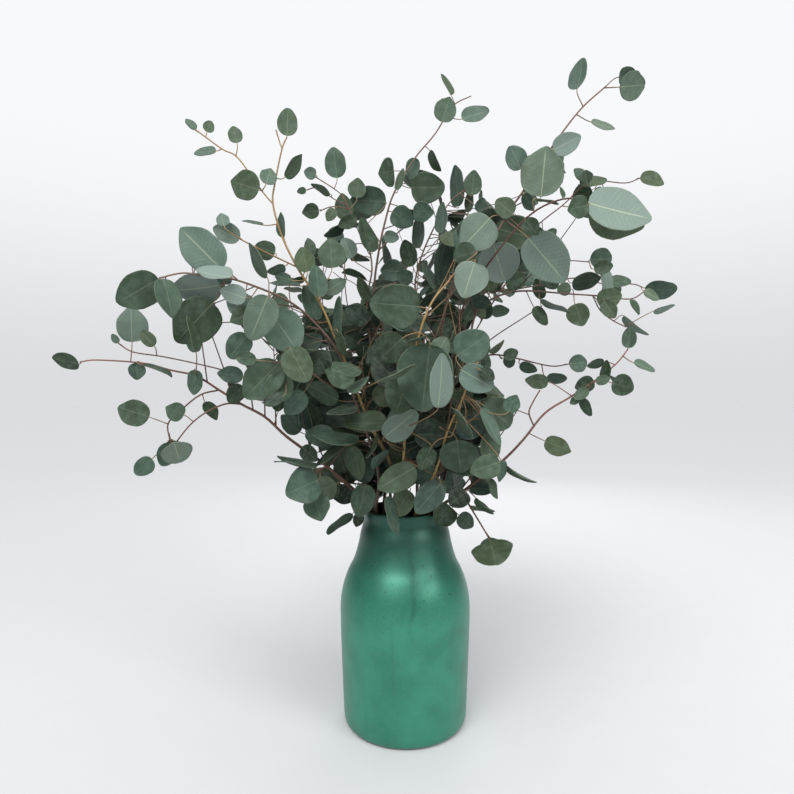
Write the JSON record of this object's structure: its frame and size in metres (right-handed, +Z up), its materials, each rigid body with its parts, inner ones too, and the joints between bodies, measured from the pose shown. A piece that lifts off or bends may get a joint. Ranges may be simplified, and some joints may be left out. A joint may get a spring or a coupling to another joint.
{
  "type": "eucalyptus branches in bottle vase",
  "caption": "Loose bunch of round-leaved eucalyptus branches standing in a squat satin green bottle vase.",
  "frame": {"origin": "middle of the bottle's flat underside", "axes": "+Z up along the bottle's axis, -Y towards the picture's viewer, +X to the viewer's right"},
  "size_m": [0.7036, 0.454, 0.7468],
  "materials": {
    "bottle": "satin emerald green, opaque, softly mottled",
    "leaf": "matt grey-green waxy leaf with a pale midrib and fine veins",
    "bark": "smooth red-brown to golden young bark"
  },
  "bodies": {
    "root": {"bottle": "bottle", "stem_upper_left": "leaf", "stem_left_low": "leaf", "stem_left_front": "leaf", "stem_top_left": "leaf", "stem_top_centre": "leaf", "stem_top_right": "leaf", "stem_front_centre": "leaf", "stem_upper_right": "leaf", "stem_right_high": "leaf", "stem_right": "leaf", "stem_right_low": "leaf", "stem_front_right": "leaf", "stem_back_right": "leaf", "stem_back": "leaf", "stem_back_left": "leaf", "stem_left_back": "leaf"}
  },
  "joints": []
}
